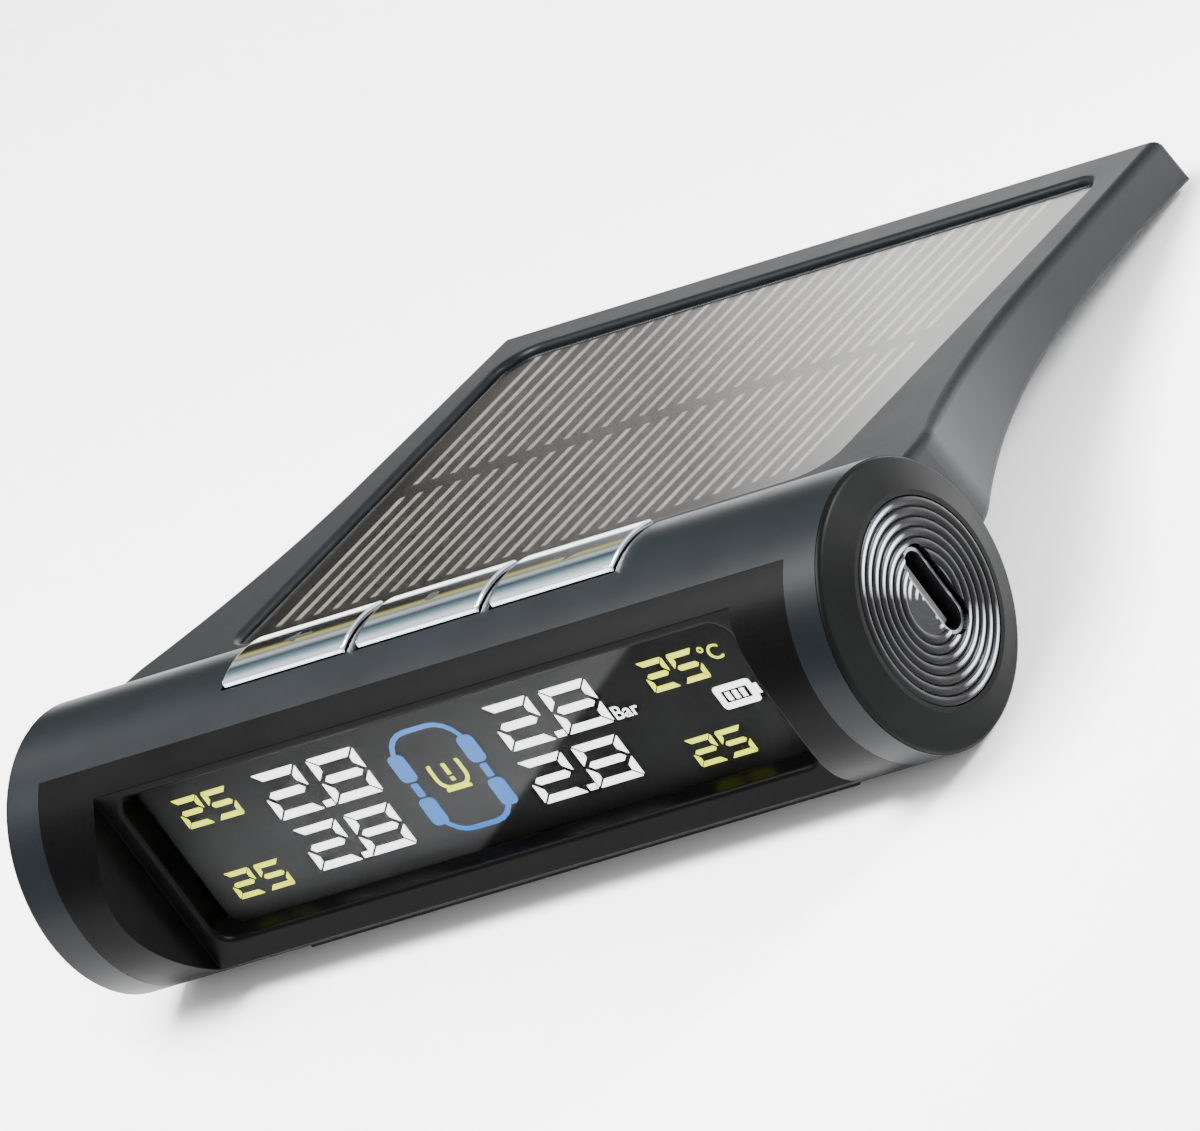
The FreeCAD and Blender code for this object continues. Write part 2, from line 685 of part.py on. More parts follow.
def port_shell():
    mouth = f"{CAP_FACE} - port_sunk"
    outer = stadium("PortOuter", "port_long", "port_tall", f"{mouth} - port_depth", mouth)
    inner = stadium("PortInner", "port_long - 2 * port_wall", "port_tall - 2 * port_wall",
                    f"{mouth} - port_depth + port_wall", f"{mouth} + 1")
    return cut("PortShell", outer, inner)


def port_tongue():
    mouth = f"{CAP_FACE} - port_sunk"
    return box("Tongue", FACE, (f"{mouth} - port_depth + port_wall", "port_back - tongue_thick / 2",
                                "-tongue_long / 2"),
               (f"{mouth} - over_cut", "port_back + tongue_thick / 2", "tongue_long / 2"))


def port_hole():
    return stadium("PortHole", "port_long + 2 * port_gap", "port_tall + 2 * port_gap",
                   "tube_reach - spigot_depth - over_cut", f"{CAP_FACE} + 2 * over_cut")


# ---- end caps ------------------------------------------------------------------------------------


def turned(name, points, bends, frame_x, angle):
    # a solid of revolution about X
    body = new_body(name)
    sketch = outline(body, name + "Outline", "XY_Plane", points, bends)
    spin = body.newObject("PartDesign::Revolution", name + "Turn")
    spin.Profile = sketch
    spin.ReferenceAxis = (sketch, ["H_Axis"])
    spin.Angle = 360
    place(body, TUBE, frame_x, "0", "0", angle, ("0", "0", "1"))
    return body


def end_cap(name, frame_x, angle):
    seat = "cap_depth - ring_thick"
    spigot = f"({BORE} - fit_gap)"
    points = [
        (f"{seat} - wall", "0"),
        (seat, "0"),
        (seat, "ring_radius"),
        ("cap_depth", "ring_radius"),
        ("cap_depth", "ring_radius + ring_shoulder"),
        ("cap_edge", "tube_radius - cap_drop"),
        ("0", "tube_radius - cap_shy"),
        ("0", spigot),
        ("-spigot_depth", spigot),
        ("-spigot_depth", f"{spigot} - spigot_wall"),
        (f"{seat} - wall", f"{spigot} - spigot_wall"),
    ]
    return turned(name, points, {5: (1, "cap_round")}, frame_x, angle)


def ring_disc(name, frame_x, angle):
    seat = "cap_depth - ring_thick"
    crown = "cap_depth - ring_inset"
    pitch = f"((ring_radius - fit_gap - ring_start) / {RING_COUNT})"
    points = [(seat, "ring_radius - fit_gap"), (seat, "0"), (crown, "0")]
    bends = {}
    for ring in range(RING_COUNT):
        bends[len(points)] = (1, "ring_bulge")
        points.append((crown, f"ring_start + {ring} * {pitch}"))
    points.append((crown, "ring_radius - fit_gap"))
    return turned(name, points, bends, frame_x, angle)


# ---- solar panel ---------------------------------------------------------------------------------


def panel_layer(name, start, end):
    return plate(name, SLOPE, ("-panel_half", "panel_start", f"{PANEL_FLOOR} + {start}"),
                 ("panel_half", "panel_start + panel_long", f"{PANEL_FLOOR} + {end}"), "panel_corner")


# ---- keys ----------------------------------------------------------------------------------------


def key(name, middle):
    half = "(key_long / 2)"
    block = box(name + "Block", KEYS, (f"{middle} - {half}", "-key_half", "flange_level"),
                (f"{middle} + {half}", "key_half", "tube_radius + key_proud + over_cut"))
    skin = rod(name + "Skin", TUBE, "tube_radius + key_proud", f"{middle} - {half} - over_cut",
               f"{middle} + {half} + over_cut")
    flange = box(name + "Flange", KEYS,
                 (f"{middle} - {half} - key_flange", "-key_half - 2 * key_flange", "flange_level"),
                 (f"{middle} + {half} + key_flange", "key_half + 2 * key_flange",
                  "flange_level + flange_thick"))
    stem = post(name + "Stem", KEYS, "stem_radius", middle, "0", "plunger_top", "flange_level")
    return fuse(name, common(name + "Cap", block, skin), flange, stem)


def key_switch(name, middle):
    level = "key_board_level + key_board_thick"
    case = box(name + "Case", KEYS, (f"{middle} - switch_side / 2", "-switch_side / 2", level),
               (f"{middle} + switch_side / 2", "switch_side / 2", f"{level} + switch_tall"))
    well = post(name + "Well", KEYS, "plunger_radius + plunger_slack", middle, "0",
                f"{level} + switch_tall - switch_well", f"{level} + switch_tall + over_cut")
    return cut(name, case, well)


def plunger(name, middle):
    return post(name, KEYS, "plunger_radius", middle, "0", "plunger_top - plunger_long", "plunger_top")


def key_board():
    return box("KeyBoard", KEYS, (f"-{KEYS_HALF} - key_board_edge", "-key_board_front", "key_board_level"),
               (f"{KEYS_HALF} + key_board_edge", "key_board_back", "key_board_level + key_board_thick"))


# ---- feet ----------------------------------------------------------------------------------------


def front_pad():
    return box("FrontPad", TUBE, ("-front_pad_half", "-front_pad_wide / 2", "-tube_radius - foot_proud"),
               ("front_pad_half", "front_pad_wide / 2", "-tube_radius + foot_depth"))


def rear_pad():
    bottom = "-tube_radius - foot_proud"
    return box("RearPad", TUBE, ("-rear_pad_half", "fin_reach - rear_pad_edge - rear_pad_wide", bottom),
               ("rear_pad_half", "fin_reach - rear_pad_edge", f"{bottom} + rear_pad_tall"))


# ---- the whole monitor -----------------------------------------------------------------------------


def build():
    blank = cover_blank()
    cover_screws = cover_screw_set("CoverScrews", "screw_radius", "screw_head", "0")
    cover_holes = cover_screw_set("CoverHoles", "screw_radius", "screw_head + head_room", "1")
    board_screws = board_screw_set()
    tray = "panel_tape"
    board = f"{tray} + panel_thick"
    hole = port_hole()
    fascia = front_fascia()
    nodes = {
        "housing_shell": housing_shell(blank, cover_holes),
        "bottom_cover": bottom_cover(blank, cover_holes),
        "front_fascia": cut("FrontFascia", fascia, board_screws),
        "display_lens": display_lens(),
        "lcd_panel": lcd_panel(),
        "backlight_block": backlight_block(),
        "lcd_pin_strip": lcd_pin_strip(),
        "main_board": main_board(board_screws),
        "battery_foam": battery_foam(),
        "battery_cell": battery_cell(),
        "radio_shield": radio_shield(),
        "aerial_coil": aerial_coil(),
        "buzzer": buzzer(),
        "usb_port_shell": port_shell(),
        "usb_port_tongue": port_tongue(),
        "end_cap_right": cut("EndCapRight", end_cap("CapRight", "tube_reach", "0"), hole),
        "end_cap_left": end_cap("CapLeft", "-tube_reach", "180"),
        "ring_disc_right": cut("RingDiscRight", ring_disc("DiscRight", "tube_reach", "0"), hole),
        "ring_disc_left": ring_disc("DiscLeft", "-tube_reach", "180"),
        "solar_tape": panel_layer("SolarTape", "0", tray),
        "solar_panel": panel_layer("SolarPanel", tray, board),
        "solar_cover": panel_layer("SolarCover", board, f"{board} + panel_cover"),
        "key_board": key_board(),
        "cover_screws": cover_screws,
        "board_screws": board_screws,
        "front_foot_pad": front_pad(),
        "rear_foot_pad": rear_pad(),
    }
    for word, middle in (("back", f"-{KEY_PITCH}"), ("set", "0"), ("next", KEY_PITCH)):
        nodes[f"key_{word}"] = key(f"Key{word.title()}", middle)
        nodes[f"key_switch_{word}"] = key_switch(f"Switch{word.title()}", middle)
        nodes[f"key_plunger_{word}"] = plunger(f"Plunger{word.title()}", middle)
    return nodes


def check(nodes):
    for item in doc.Objects:
        if "Invalid" in item.State or "Error" in item.State:
            raise RuntimeError(f"{item.Name} failed: {item.State}")
    for node, piece in nodes.items():
        if piece.Shape.isNull() or not piece.Shape.isValid() or piece.Shape.Volume <= 0:
            raise RuntimeError(f"{node} has no valid shape")


nodes = build()
doc.recompute()
check(nodes)
os.makedirs("parts", exist_ok=True)
for node, piece in nodes.items():
    piece.Label = node
    piece.Shape.exportStep(f"parts/{node}.step")
    print(node, len(piece.Shape.Solids), round(piece.Shape.Volume, 1))
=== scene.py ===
import math

import bpy
from mathutils import Matrix, Vector


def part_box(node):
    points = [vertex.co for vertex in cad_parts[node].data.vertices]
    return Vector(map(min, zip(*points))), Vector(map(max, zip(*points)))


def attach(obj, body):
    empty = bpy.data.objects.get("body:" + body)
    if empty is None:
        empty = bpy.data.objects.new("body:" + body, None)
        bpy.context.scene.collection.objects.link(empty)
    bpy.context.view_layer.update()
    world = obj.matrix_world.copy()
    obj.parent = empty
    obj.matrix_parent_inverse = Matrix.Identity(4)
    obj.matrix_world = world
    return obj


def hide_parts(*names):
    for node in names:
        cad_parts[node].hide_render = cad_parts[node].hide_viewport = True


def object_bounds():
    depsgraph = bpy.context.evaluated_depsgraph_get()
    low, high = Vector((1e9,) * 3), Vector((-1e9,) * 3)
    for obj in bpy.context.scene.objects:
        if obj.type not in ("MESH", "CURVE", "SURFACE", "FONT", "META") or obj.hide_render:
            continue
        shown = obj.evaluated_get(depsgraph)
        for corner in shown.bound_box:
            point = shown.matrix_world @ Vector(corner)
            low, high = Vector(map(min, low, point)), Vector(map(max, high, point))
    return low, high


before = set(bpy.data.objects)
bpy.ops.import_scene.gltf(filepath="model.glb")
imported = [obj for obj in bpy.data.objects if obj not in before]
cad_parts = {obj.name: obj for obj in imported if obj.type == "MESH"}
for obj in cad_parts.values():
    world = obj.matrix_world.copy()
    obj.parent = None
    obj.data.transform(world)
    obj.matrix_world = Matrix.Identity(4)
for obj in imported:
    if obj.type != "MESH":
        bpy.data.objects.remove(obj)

cadLow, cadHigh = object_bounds()
mm = 0.001

# places, all from the frame
capLow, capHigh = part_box("end_cap_right")
axisY = (capLow.y + capHigh.y) / 2
axisZ = (capLow.z + capHigh.z) / 2
tubeRadius = (capHigh.z - capLow.z) / 2
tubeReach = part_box("housing_shell")[1].x
lean = {"face": 3.6, "slope": 14.6, "keys": 12.5}   # degrees that each local frame turns back about X


def localFrame(name):
    return Matrix.Translation((0, axisY, axisZ)) @ Matrix.Rotation(-math.radians(lean[name]), 4, "X")


def localBox(node, name):
    # a node's box in one of the local frames
    toLocal = localFrame(name).inverted()
    spots = [toLocal @ vertex.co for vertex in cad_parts[node].data.vertices]
    low = Vector([min(spot[i] for spot in spots) for i in range(3)])
    high = Vector([max(spot[i] for spot in spots) for i in range(3)])
    return low, high


# small tools
def linear(hexColour):
    # sRGB hex to linear light
    parts = [int(hexColour[i:i + 2], 16) / 255 for i in (1, 3, 5)]
    return [*[p / 12.92 if p <= 0.04045 else ((p + 0.055) / 1.055) ** 2.4 for p in parts], 1]


def addNode(tree, kind, settings=None, links=None):
    node = tree.nodes.new(kind)
    for key, value in (settings or {}).items():
        if key in node.inputs:
            node.inputs[key].default_value = value
        else:
            setattr(node, key, value)
    for key, (source, output) in (links or {}).items():
        tree.links.new(source.outputs[output], node.inputs[key])
    return node


def startMaterial(name, settings):
    material = bpy.data.materials.new(name)
    material.use_nodes = True
    tree = material.node_tree
    shader = tree.nodes["Principled BSDF"]
    for key, value in settings.items():
        shader.inputs[key].default_value = value
    place = addNode(tree, "ShaderNodeTexCoord")
    return material, tree, shader, place


# how the speckle's noise is spread between its two ends
speckle = {"grainDetail": 3, "cloudDetail": 2, "colour": (0.35, 0.65), "rough": (0.3, 0.7)}


def speckled(name, look):
    # two close colours in a fine grain, with the grain in the roughness and the bump as well
    material, tree, shader, place = startMaterial(name, look["shader"])
    grain = addNode(tree, "ShaderNodeTexNoise", {"Scale": 1 / (look["grain"] * mm),
                    "Detail": speckle["grainDetail"]}, {"Vector": (place, "Object")})
    cloud = addNode(tree, "ShaderNodeTexNoise", {"Scale": 1 / (look["cloud"] * mm),
                    "Detail": speckle["cloudDetail"]}, {"Vector": (place, "Object")})
    both = addNode(tree, "ShaderNodeMix", {"data_type": "FLOAT", "Factor": 0.5},
                   {"A": (grain, "Fac"), "B": (cloud, "Fac")})
    colour = addNode(tree, "ShaderNodeValToRGB", None, {"Fac": (both, "Result")})
    for stop, position, shade in zip(colour.color_ramp.elements, speckle["colour"], ("dark", "light")):
        stop.position = position
        stop.color = linear(look[shade])
    rough = addNode(tree, "ShaderNodeMapRange", {"From Min": speckle["rough"][0],
                    "From Max": speckle["rough"][1], "To Min": look["rough"][0],
                    "To Max": look["rough"][1]}, {"Value": (both, "Result")})
    bump = addNode(tree, "ShaderNodeBump", {"Strength": look["bump"], "Distance": look["depth"] * mm},
                   {"Height": (grain, "Fac")})
    tree.links.new(colour.outputs["Color"], shader.inputs["Base Color"])
    tree.links.new(rough.outputs["Result"], shader.inputs["Roughness"])
    tree.links.new(bump.outputs["Normal"], shader.inputs["Normal"])
    return material


def dress(piece, material):
    piece.data.materials.clear()
    piece.data.materials.append(material)
    for face in piece.data.polygons:
        face.material_index = 0


def deselect():
    if bpy.context.object and bpy.context.object.mode != "OBJECT":
        bpy.ops.object.mode_set(mode="OBJECT")
    bpy.ops.object.select_all(action="DESELECT")


def choose(piece):
    deselect()
    piece.select_set(True)
    bpy.context.view_layer.objects.active = piece


def settle(piece):
    # the place goes into the mesh, and the object stays at the origin
    choose(piece)
    bpy.ops.object.transform_apply(location=True, rotation=True, scale=True)


def moveInto(piece, name):
    settle(piece)
    piece.matrix_world = localFrame(name)
    settle(piece)


def useModifier(piece, kind, **settings):
    choose(piece)
    modifier = piece.modifiers.new(kind.title(), kind)
    for key, value in settings.items():
        setattr(modifier, key, value)
    bpy.ops.object.modifier_apply(modifier=modifier.name)


# softening in millimetres and degrees, shared by all the modelled pieces
soften = {"merge": 0.001, "flat": 0.5, "sharp": 35, "smooth": 32}


def smooth(piece):
    choose(piece)
    bpy.ops.object.shade_smooth_by_angle(angle=math.radians(soften["smooth"]))


def evenShade(piece):
    # large flats keep their own normal, so the softened edges don't bow the reflections
    smooth(piece)
    useModifier(piece, "WEIGHTED_NORMAL", keep_sharp=True)


def joinAll(name, parts):
    deselect()
    for part in parts:
        part.select_set(True)
    bpy.context.view_layer.objects.active = parts[0]
    if len(parts) > 1:
        bpy.ops.object.join()
    piece = bpy.context.object
    piece.name = name
    return piece


def slab(name, low, high):
    # a box between two corners, its place already in the mesh
    deselect()
    low, high = Vector(low), Vector(high)
    bpy.ops.mesh.primitive_cube_add(size=1, location=(low + high) / 2, scale=high - low)
    piece = bpy.context.object
    piece.name = name
    settle(piece)
    return piece


def rod(name, radius, start, end, sides):
    # a cylinder about the X axis
    deselect()
    bpy.ops.mesh.primitive_cylinder_add(vertices=sides, radius=radius, depth=end - start,
                                        location=((start + end) / 2, 0, 0), rotation=(0, math.pi / 2, 0))
    piece = bpy.context.object
    piece.name = name
    settle(piece)
    return piece


def roundEdges(piece, width, keep, segments):
    # edges that keep(edge, vertices) accepts are bevelled
    choose(piece)
    mesh = piece.data
    bpy.ops.object.mode_set(mode="EDIT")
    bpy.ops.mesh.select_all(action="DESELECT")
    bpy.ops.object.mode_set(mode="OBJECT")
    for edge in mesh.edges:
        edge.select = keep(*[mesh.vertices[i].co for i in edge.vertices])
    bpy.ops.object.mode_set(mode="EDIT")
    bpy.ops.mesh.select_mode(type="EDGE")
    bpy.ops.mesh.bevel(offset=width, segments=segments, profile=0.5, affect="EDGES")
    bpy.ops.object.mode_set(mode="OBJECT")


def cutOut(piece, tool, operation="DIFFERENCE"):
    useModifier(piece, "BOOLEAN", object=tool, operation=operation, solver="EXACT")
    bpy.data.objects.remove(tool)


def fromNode(node, name, bevel, segments):
    # a finer copy of a CAD node: merged, its flats made whole, its edges softened
    deselect()
    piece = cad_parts[node].copy()
    piece.data = piece.data.copy()
    bpy.context.collection.objects.link(piece)
    piece.parent = None
    piece.matrix_world = Matrix.Identity(4)
    piece.name = name
    choose(piece)
    bpy.ops.object.mode_set(mode="EDIT")
    bpy.ops.mesh.select_all(action="SELECT")
    bpy.ops.mesh.remove_doubles(threshold=soften["merge"] * mm)
    bpy.ops.mesh.dissolve_limited(angle_limit=math.radians(soften["flat"]))
    bpy.ops.object.mode_set(mode="OBJECT")
    useModifier(piece, "BEVEL", width=bevel * mm, segments=segments, limit_method="ANGLE",
                angle_limit=math.radians(soften["sharp"]), use_clamp_overlap=True)
    evenShade(piece)
    return piece


# materials
looks = {
    # moulded ABS with a satin metallic slate paint: a soft sheen with fine flake in it
    "housing": {"dark": "#04070A", "light": "#080C10", "grain": 0.18, "cloud": 6, "rough": (0.34, 0.42),
                "bump": 0.08, "depth": 0.02, "shader": {"Specular IOR Level": 0.09}},
    # the same paint on the turned cap, darker and closer grained
    "cap": {"dark": "#040404", "light": "#060707", "grain": 0.2, "cloud": 5, "rough": (0.36, 0.44),
            "bump": 0.08, "depth": 0.02, "shader": {"Specular IOR Level": 0.04}},
    # black ABS, moulded against a polished tool
    "fascia": {"dark": "#020202", "light": "#040404", "grain": 0.25, "cloud": 8, "rough": (0.3, 0.4),
               "bump": 0.05, "depth": 0.02, "shader": {"Specular IOR Level": 0.03}},
    # nitrile rubber, matt with a dusty bloom
    "rubber": {"dark": "#101010", "light": "#1C1C1C", "grain": 0.3, "cloud": 4, "rough": (0.75, 0.9),
               "bump": 0.5, "depth": 0.05, "shader": {"IOR": 1.52}},
    # zinc plated steel
    "zinc": {"dark": "#9A9EA4", "light": "#B7BBC0", "grain": 0.12, "cloud": 2, "rough": (0.28, 0.4),
             "bump": 0.15, "depth": 0.02, "shader": {"Metallic": 1.0}},
    # nickel plated sheet of the charging port
    "nickel": {"dark": "#55565A", "light": "#6A6B70", "grain": 0.1, "cloud": 2, "rough": (0.25, 0.35),
               "bump": 0.1, "depth": 0.01, "shader": {"Metallic": 1.0}},
    # glass-filled nylon, black and matt
    "nylon": {"dark": "#08080A", "light": "#121214", "grain": 0.1, "cloud": 2, "rough": (0.45, 0.6),
              "bump": 0.2, "depth": 0.02, "shader": {"IOR": 1.53}},
    # green solder mask over glass epoxy
    "board": {"dark": "#0B3D1E", "light": "#11522A", "grain": 0.4, "cloud": 5, "rough": (0.3, 0.45),
              "bump": 0.2, "depth": 0.02, "shader": {"IOR": 1.55}},
    # aluminium laminate of a pouch cell
    "pouch": {"dark": "#9A9C9F", "light": "#BFC1C4", "grain": 0.5, "cloud": 6, "rough": (0.3, 0.45),
              "bump": 0.4, "depth": 0.05, "shader": {"Metallic": 0.8}},
    # open-cell foam tape
    "foam": {"dark": "#B9B8B2", "light": "#DAD9D3", "grain": 0.25, "cloud": 3, "rough": (0.85, 0.95),
             "bump": 0.8, "depth": 0.1, "shader": {"IOR": 1.45}},
    # drawn copper
    "copper": {"dark": "#B4623A", "light": "#D08658", "grain": 0.1, "cloud": 1, "rough": (0.25, 0.4),
               "bump": 0.1, "depth": 0.01, "shader": {"Metallic": 1.0}},
    # white polycarbonate diffuser
    "diffuser": {"dark": "#D8DAD8", "light": "#ECEDEB", "grain": 0.3, "cloud": 5, "rough": (0.5, 0.6),
                 "bump": 0.1, "depth": 0.02, "shader": {"IOR": 1.58}},
    # carbon-filled silicone contact strip
    "contact": {"dark": "#2A2A2C", "light": "#5A5A5C", "grain": 0.1, "cloud": 0.5, "rough": (0.6, 0.7),
                "bump": 0.2, "depth": 0.02, "shader": {"IOR": 1.43}},
    # brown-black amorphous silicon, printed on glass
    "silicon": {"dark": "#060504", "light": "#0A0807", "grain": 0.6, "cloud": 14, "rough": (0.3, 0.4),
                "bump": 0.03, "depth": 0.01, "shader": {"IOR": 1.6}},
    # screen-printed silver paste
    "silver": {"dark": "#B4B2AE", "light": "#C8C6C2", "grain": 0.15, "cloud": 3, "rough": (0.35, 0.5),
               "bump": 0.2, "depth": 0.02, "shader": {"Metallic": 0.4}},
    # gold flash on contacts
    "gold": {"dark": "#B88A35", "light": "#D6A94E", "grain": 0.1, "cloud": 1, "rough": (0.2, 0.3),
             "bump": 0.05, "depth": 0.01, "shader": {"Metallic": 1.0}},
}

names = {
    "housing": "paintedAbsSlate", "cap": "paintedAbsGunmetal", "fascia": "mouldedAbsBlack",
    "rubber": "nitrileRubber", "zinc": "zincPlatedSteel", "nickel": "nickelPlatedSteel",
    "nylon": "glassFilledNylon", "board": "solderMaskGreen", "pouch": "aluminiumLaminate",
    "foam": "foamTape", "copper": "drawnCopper", "diffuser": "polycarbonateWhite",
    "contact": "conductiveSilicone", "silicon": "amorphousSilicon",
    "silver": "silverPaste", "gold": "goldFlash",
}
finish = {key: speckled(names[key], look) for key, look in looks.items()}


def chromeFinish():
    # chrome plate on ABS: mirror bright, with faint lines left by polishing along the tube
    look = {"dark": "#CDD2D8", "light": "#DDE1E6", "roughness": (0.06, 0.14), "lineSpacing": 0.12,
            "stretch": (0.02, 1, 1)}
    material, tree, shader, place = startMaterial("chromePlatedAbs", {"Metallic": 1.0})
    stretch = addNode(tree, "ShaderNodeMapping", {"Scale": look["stretch"]}, {"Vector": (place, "Object")})
    lines = addNode(tree, "ShaderNodeTexNoise", {"Scale": 1 / (look["lineSpacing"] * mm), "Detail": 2},
                    {"Vector": (stretch, "Vector")})
    rough = addNode(tree, "ShaderNodeMapRange", {"To Min": look["roughness"][0],
                    "To Max": look["roughness"][1]}, {"Value": (lines, "Fac")})
    tint = addNode(tree, "ShaderNodeValToRGB", None, {"Fac": (lines, "Fac")})
    tint.color_ramp.elements[0].color = linear(look["dark"])
    tint.color_ramp.elements[1].color = linear(look["light"])
    tree.links.new(rough.outputs["Result"], shader.inputs["Roughness"])
    tree.links.new(tint.outputs["Color"], shader.inputs["Base Color"])
    return material


def turnedPaintedSheenFinish():
    # dark anodised aluminium, faced on a lathe, with a painted highlight: light lines painted on each ring in
    # two opposite sectors
    look = {"dark": "#08080A", "light": "#C9CED6", "pitch": 0.893, "start": 2.9, "marks": 0.12,
            "aim": (0, -0.155, 0.988), "spread": (0.8, 1.0), "ringHighlight": (0.24, 0.5), "roughness": (0.22, 0.34)}
    material, tree, shader, place = startMaterial("anodisedAluminiumPaintedSheen",
                                                  {"Metallic": 0.9, "Anisotropic": 0.6})
    centre = addNode(tree, "ShaderNodeMapping", {"Location": (0, -axisY, -axisZ)},
                     {"Vector": (place, "Object")})
    flat = addNode(tree, "ShaderNodeVectorMath", {"operation": "MULTIPLY"}, {0: (centre, "Vector")})
    flat.inputs[1].default_value = (0, 1, 1)
    reach = addNode(tree, "ShaderNodeVectorMath", {"operation": "LENGTH"}, {0: (flat, "Vector")})
    spoke = addNode(tree, "ShaderNodeVectorMath", {"operation": "NORMALIZE"}, {0: (flat, "Vector")})
    facing = addNode(tree, "ShaderNodeVectorMath", {"operation": "DOT_PRODUCT"}, {0: (spoke, "Vector")})
    facing.inputs[1].default_value = Vector(look["aim"]).normalized()
    either = addNode(tree, "ShaderNodeMath", {"operation": "ABSOLUTE"}, {0: (facing, "Value")})
    # painted highlight sectors: two opposite wedges of the disc, facing up and down
    highlightSector = addNode(tree, "ShaderNodeMapRange", {"interpolation_type": "SMOOTHSTEP",
                     "From Min": look["spread"][0], "From Max": look["spread"][1]},
                     {"Value": (either, "Value")})
    turns = addNode(tree, "ShaderNodeMapRange", {"clamp": False, "From Min": look["start"] * mm,
                    "From Max": (look["start"] + look["pitch"]) * mm}, {"Value": (reach, "Value")})
    wave = addNode(tree, "ShaderNodeMath", {"operation": "PINGPONG"}, {0: (turns, "Result")})
    wave.inputs[1].default_value = 0.5
    # painted light lines, one on each turned ring
    ringHighlight = addNode(tree, "ShaderNodeMapRange", {"interpolation_type": "SMOOTHSTEP",
                    "From Min": look["ringHighlight"][0], "From Max": look["ringHighlight"][1]}, {"Value": (wave, "Value")})
    paintedSheenMask = addNode(tree, "ShaderNodeMath", {"operation": "MULTIPLY"},
                    {0: (highlightSector, "Result"), 1: (ringHighlight, "Result")})
    marks = addNode(tree, "ShaderNodeTexNoise", {"noise_dimensions": "1D", "Scale": 1 / (look["marks"] * mm),
                    "Detail": 2}, {"W": (reach, "Value")})
    # painted highlight: the base colour is painted light where a sector meets a ring's line, dark elsewhere
    tint = addNode(tree, "ShaderNodeValToRGB", None, {"Fac": (paintedSheenMask, "Value")})
    tint.color_ramp.elements[0].color = linear(look["dark"])
    tint.color_ramp.elements[1].color = linear(look["light"])
    rough = addNode(tree, "ShaderNodeMapRange", {"To Min": look["roughness"][0],
                    "To Max": look["roughness"][1]}, {"Value": (marks, "Fac")})
    around = addNode(tree, "ShaderNodeTangent", {"direction_type": "RADIAL", "axis": "X"})
    tree.links.new(tint.outputs["Color"], shader.inputs["Base Color"])
    tree.links.new(rough.outputs["Result"], shader.inputs["Roughness"])
    tree.links.new(around.outputs["Tangent"], shader.inputs["Tangent"])
    return material


def clearFinish(name, look):
    # a clear sheet with a low-glare coating: smooth, with a trace of haze and fine wipe marks
    material, tree, shader, place = startMaterial(name, {
        "Transmission Weight": 1.0, "IOR": look["ior"], "Base Color": linear(look["colour"]),
        "Specular Tint": linear(look["glare"])})
    marks = addNode(tree, "ShaderNodeTexNoise", {"Scale": 1 / (look["marks"] * mm), "Detail": 3},
                    {"Vector": (place, "Object")})
    rough = addNode(tree, "ShaderNodeMapRange", {"To Min": look["rough"][0], "To Max": look["rough"][1]},
                    {"Value": (marks, "Fac")})
    tree.links.new(rough.outputs["Result"], shader.inputs["Roughness"])
    return material


def litFinish(name, colour, strength):
    # a lit segment of the display: even light with the cell's fine mesh in it
    look = {"unlit": "#050505", "rough": 0.5, "mesh": 0.15, "dim": 0.9}
    material, tree, shader, place = startMaterial(name, {
        "Roughness": look["rough"], "Emission Strength": strength, "Base Color": linear(look["unlit"])})
    mesh = addNode(tree, "ShaderNodeTexNoise", {"Scale": 1 / (look["mesh"] * mm), "Detail": 1},
                   {"Vector": (place, "Object")})
    tint = addNode(tree, "ShaderNodeValToRGB", None, {"Fac": (mesh, "Fac")})
    full = linear(colour)
    tint.color_ramp.elements[0].color = [*[part * look["dim"] for part in full[:3]], 1]
    tint.color_ramp.elements[1].color = full
    tree.links.new(tint.outputs["Color"], shader.inputs["Emission Color"])
    return material


def crystalPaintedGlareFinish():
    # dark liquid crystal cell under its polariser, with a painted reflection: a slanting glare painted
    # lighter over its left part, darker past its edge
    look = {"paintedGlareTones": ((0.0, "#1E1E1E"), (0.495, "#3C3C3C"), (0.505, "#121212"), (1.0, "#222222")),
            "lean": 1.842, "across": 8.0, "span": 60.0, "cloud": 8, "rough": (0.45, 0.55)}
    material, tree, shader, place = startMaterial("liquidCrystalPaintedGlare", {"Specular IOR Level": 0.02})
    turned = localFrame("face")
    spot = addNode(tree, "ShaderNodeVectorMath", {"operation": "SUBTRACT"}, {0: (place, "Object")})
    spot.inputs[1].default_value = turned.translation
    along = addNode(tree, "ShaderNodeVectorMath", {"operation": "DOT_PRODUCT"}, {0: (spot, "Vector")})
    along.inputs[1].default_value = turned.col[0].xyz - look["lean"] * turned.col[2].xyz
    reach = addNode(tree, "ShaderNodeMapRange", {"From Min": (look["across"] - look["span"]) * mm,
                    "From Max": (look["across"] + look["span"]) * mm}, {"Value": (along, "Value")})
    # painted glare: the tones rise to a light step at the slanting line, then drop dark and lighten again to
    # the right
    tint = addNode(tree, "ShaderNodeValToRGB", None, {"Fac": (reach, "Result")})
    stops = tint.color_ramp.elements
    for i, (position, colour) in enumerate(look["paintedGlareTones"]):
        stop = stops[i] if i < 2 else stops.new(position)
        stop.position = position
        stop.color = linear(colour)
    cloud = addNode(tree, "ShaderNodeTexNoise", {"Scale": 1 / (look["cloud"] * mm)},
                    {"Vector": (place, "Object")})
    rough = addNode(tree, "ShaderNodeMapRange", {"To Min": look["rough"][0], "To Max": look["rough"][1]},
                    {"Value": (cloud, "Fac")})
    tree.links.new(tint.outputs["Color"], shader.inputs["Base Color"])
    tree.links.new(rough.outputs["Result"], shader.inputs["Roughness"])
    return material


finish["crystal"] = crystalPaintedGlareFinish()
finish["chrome"] = chromeFinish()
finish["turned"] = turnedPaintedSheenFinish()
